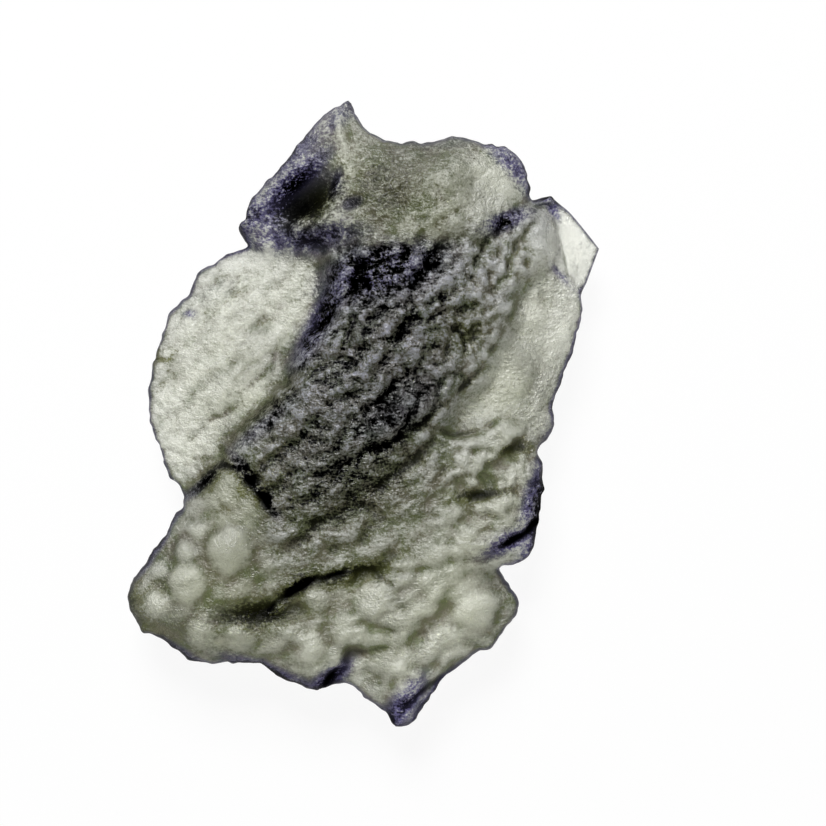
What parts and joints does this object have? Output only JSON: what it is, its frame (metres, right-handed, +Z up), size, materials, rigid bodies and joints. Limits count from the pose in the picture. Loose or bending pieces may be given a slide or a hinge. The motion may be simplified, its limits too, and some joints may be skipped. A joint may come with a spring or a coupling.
{
  "type": "raw moldavite",
  "caption": "Raw natural glass flake with a smooth crown lobe, a thick, scaly middle ridge, a thin side wing, domed lower lobes and a pointed foot, resting on worn flats.",
  "frame": {"origin": "centre of the bounding box, on the surface that the stone rests on", "axes": "+Y from the lower lobes to the crown, the longest way; +Z up from the resting face, the shortest way; +X across, towards the clear chip"},
  "size_m": [0.0226, 0.03, 0.0064],
  "materials": {
    "moldavite_glass": "etched, finely pitted natural glass"
  },
  "bodies": {
    "root": {"moldavite": "moldavite_glass"}
  },
  "joints": []
}
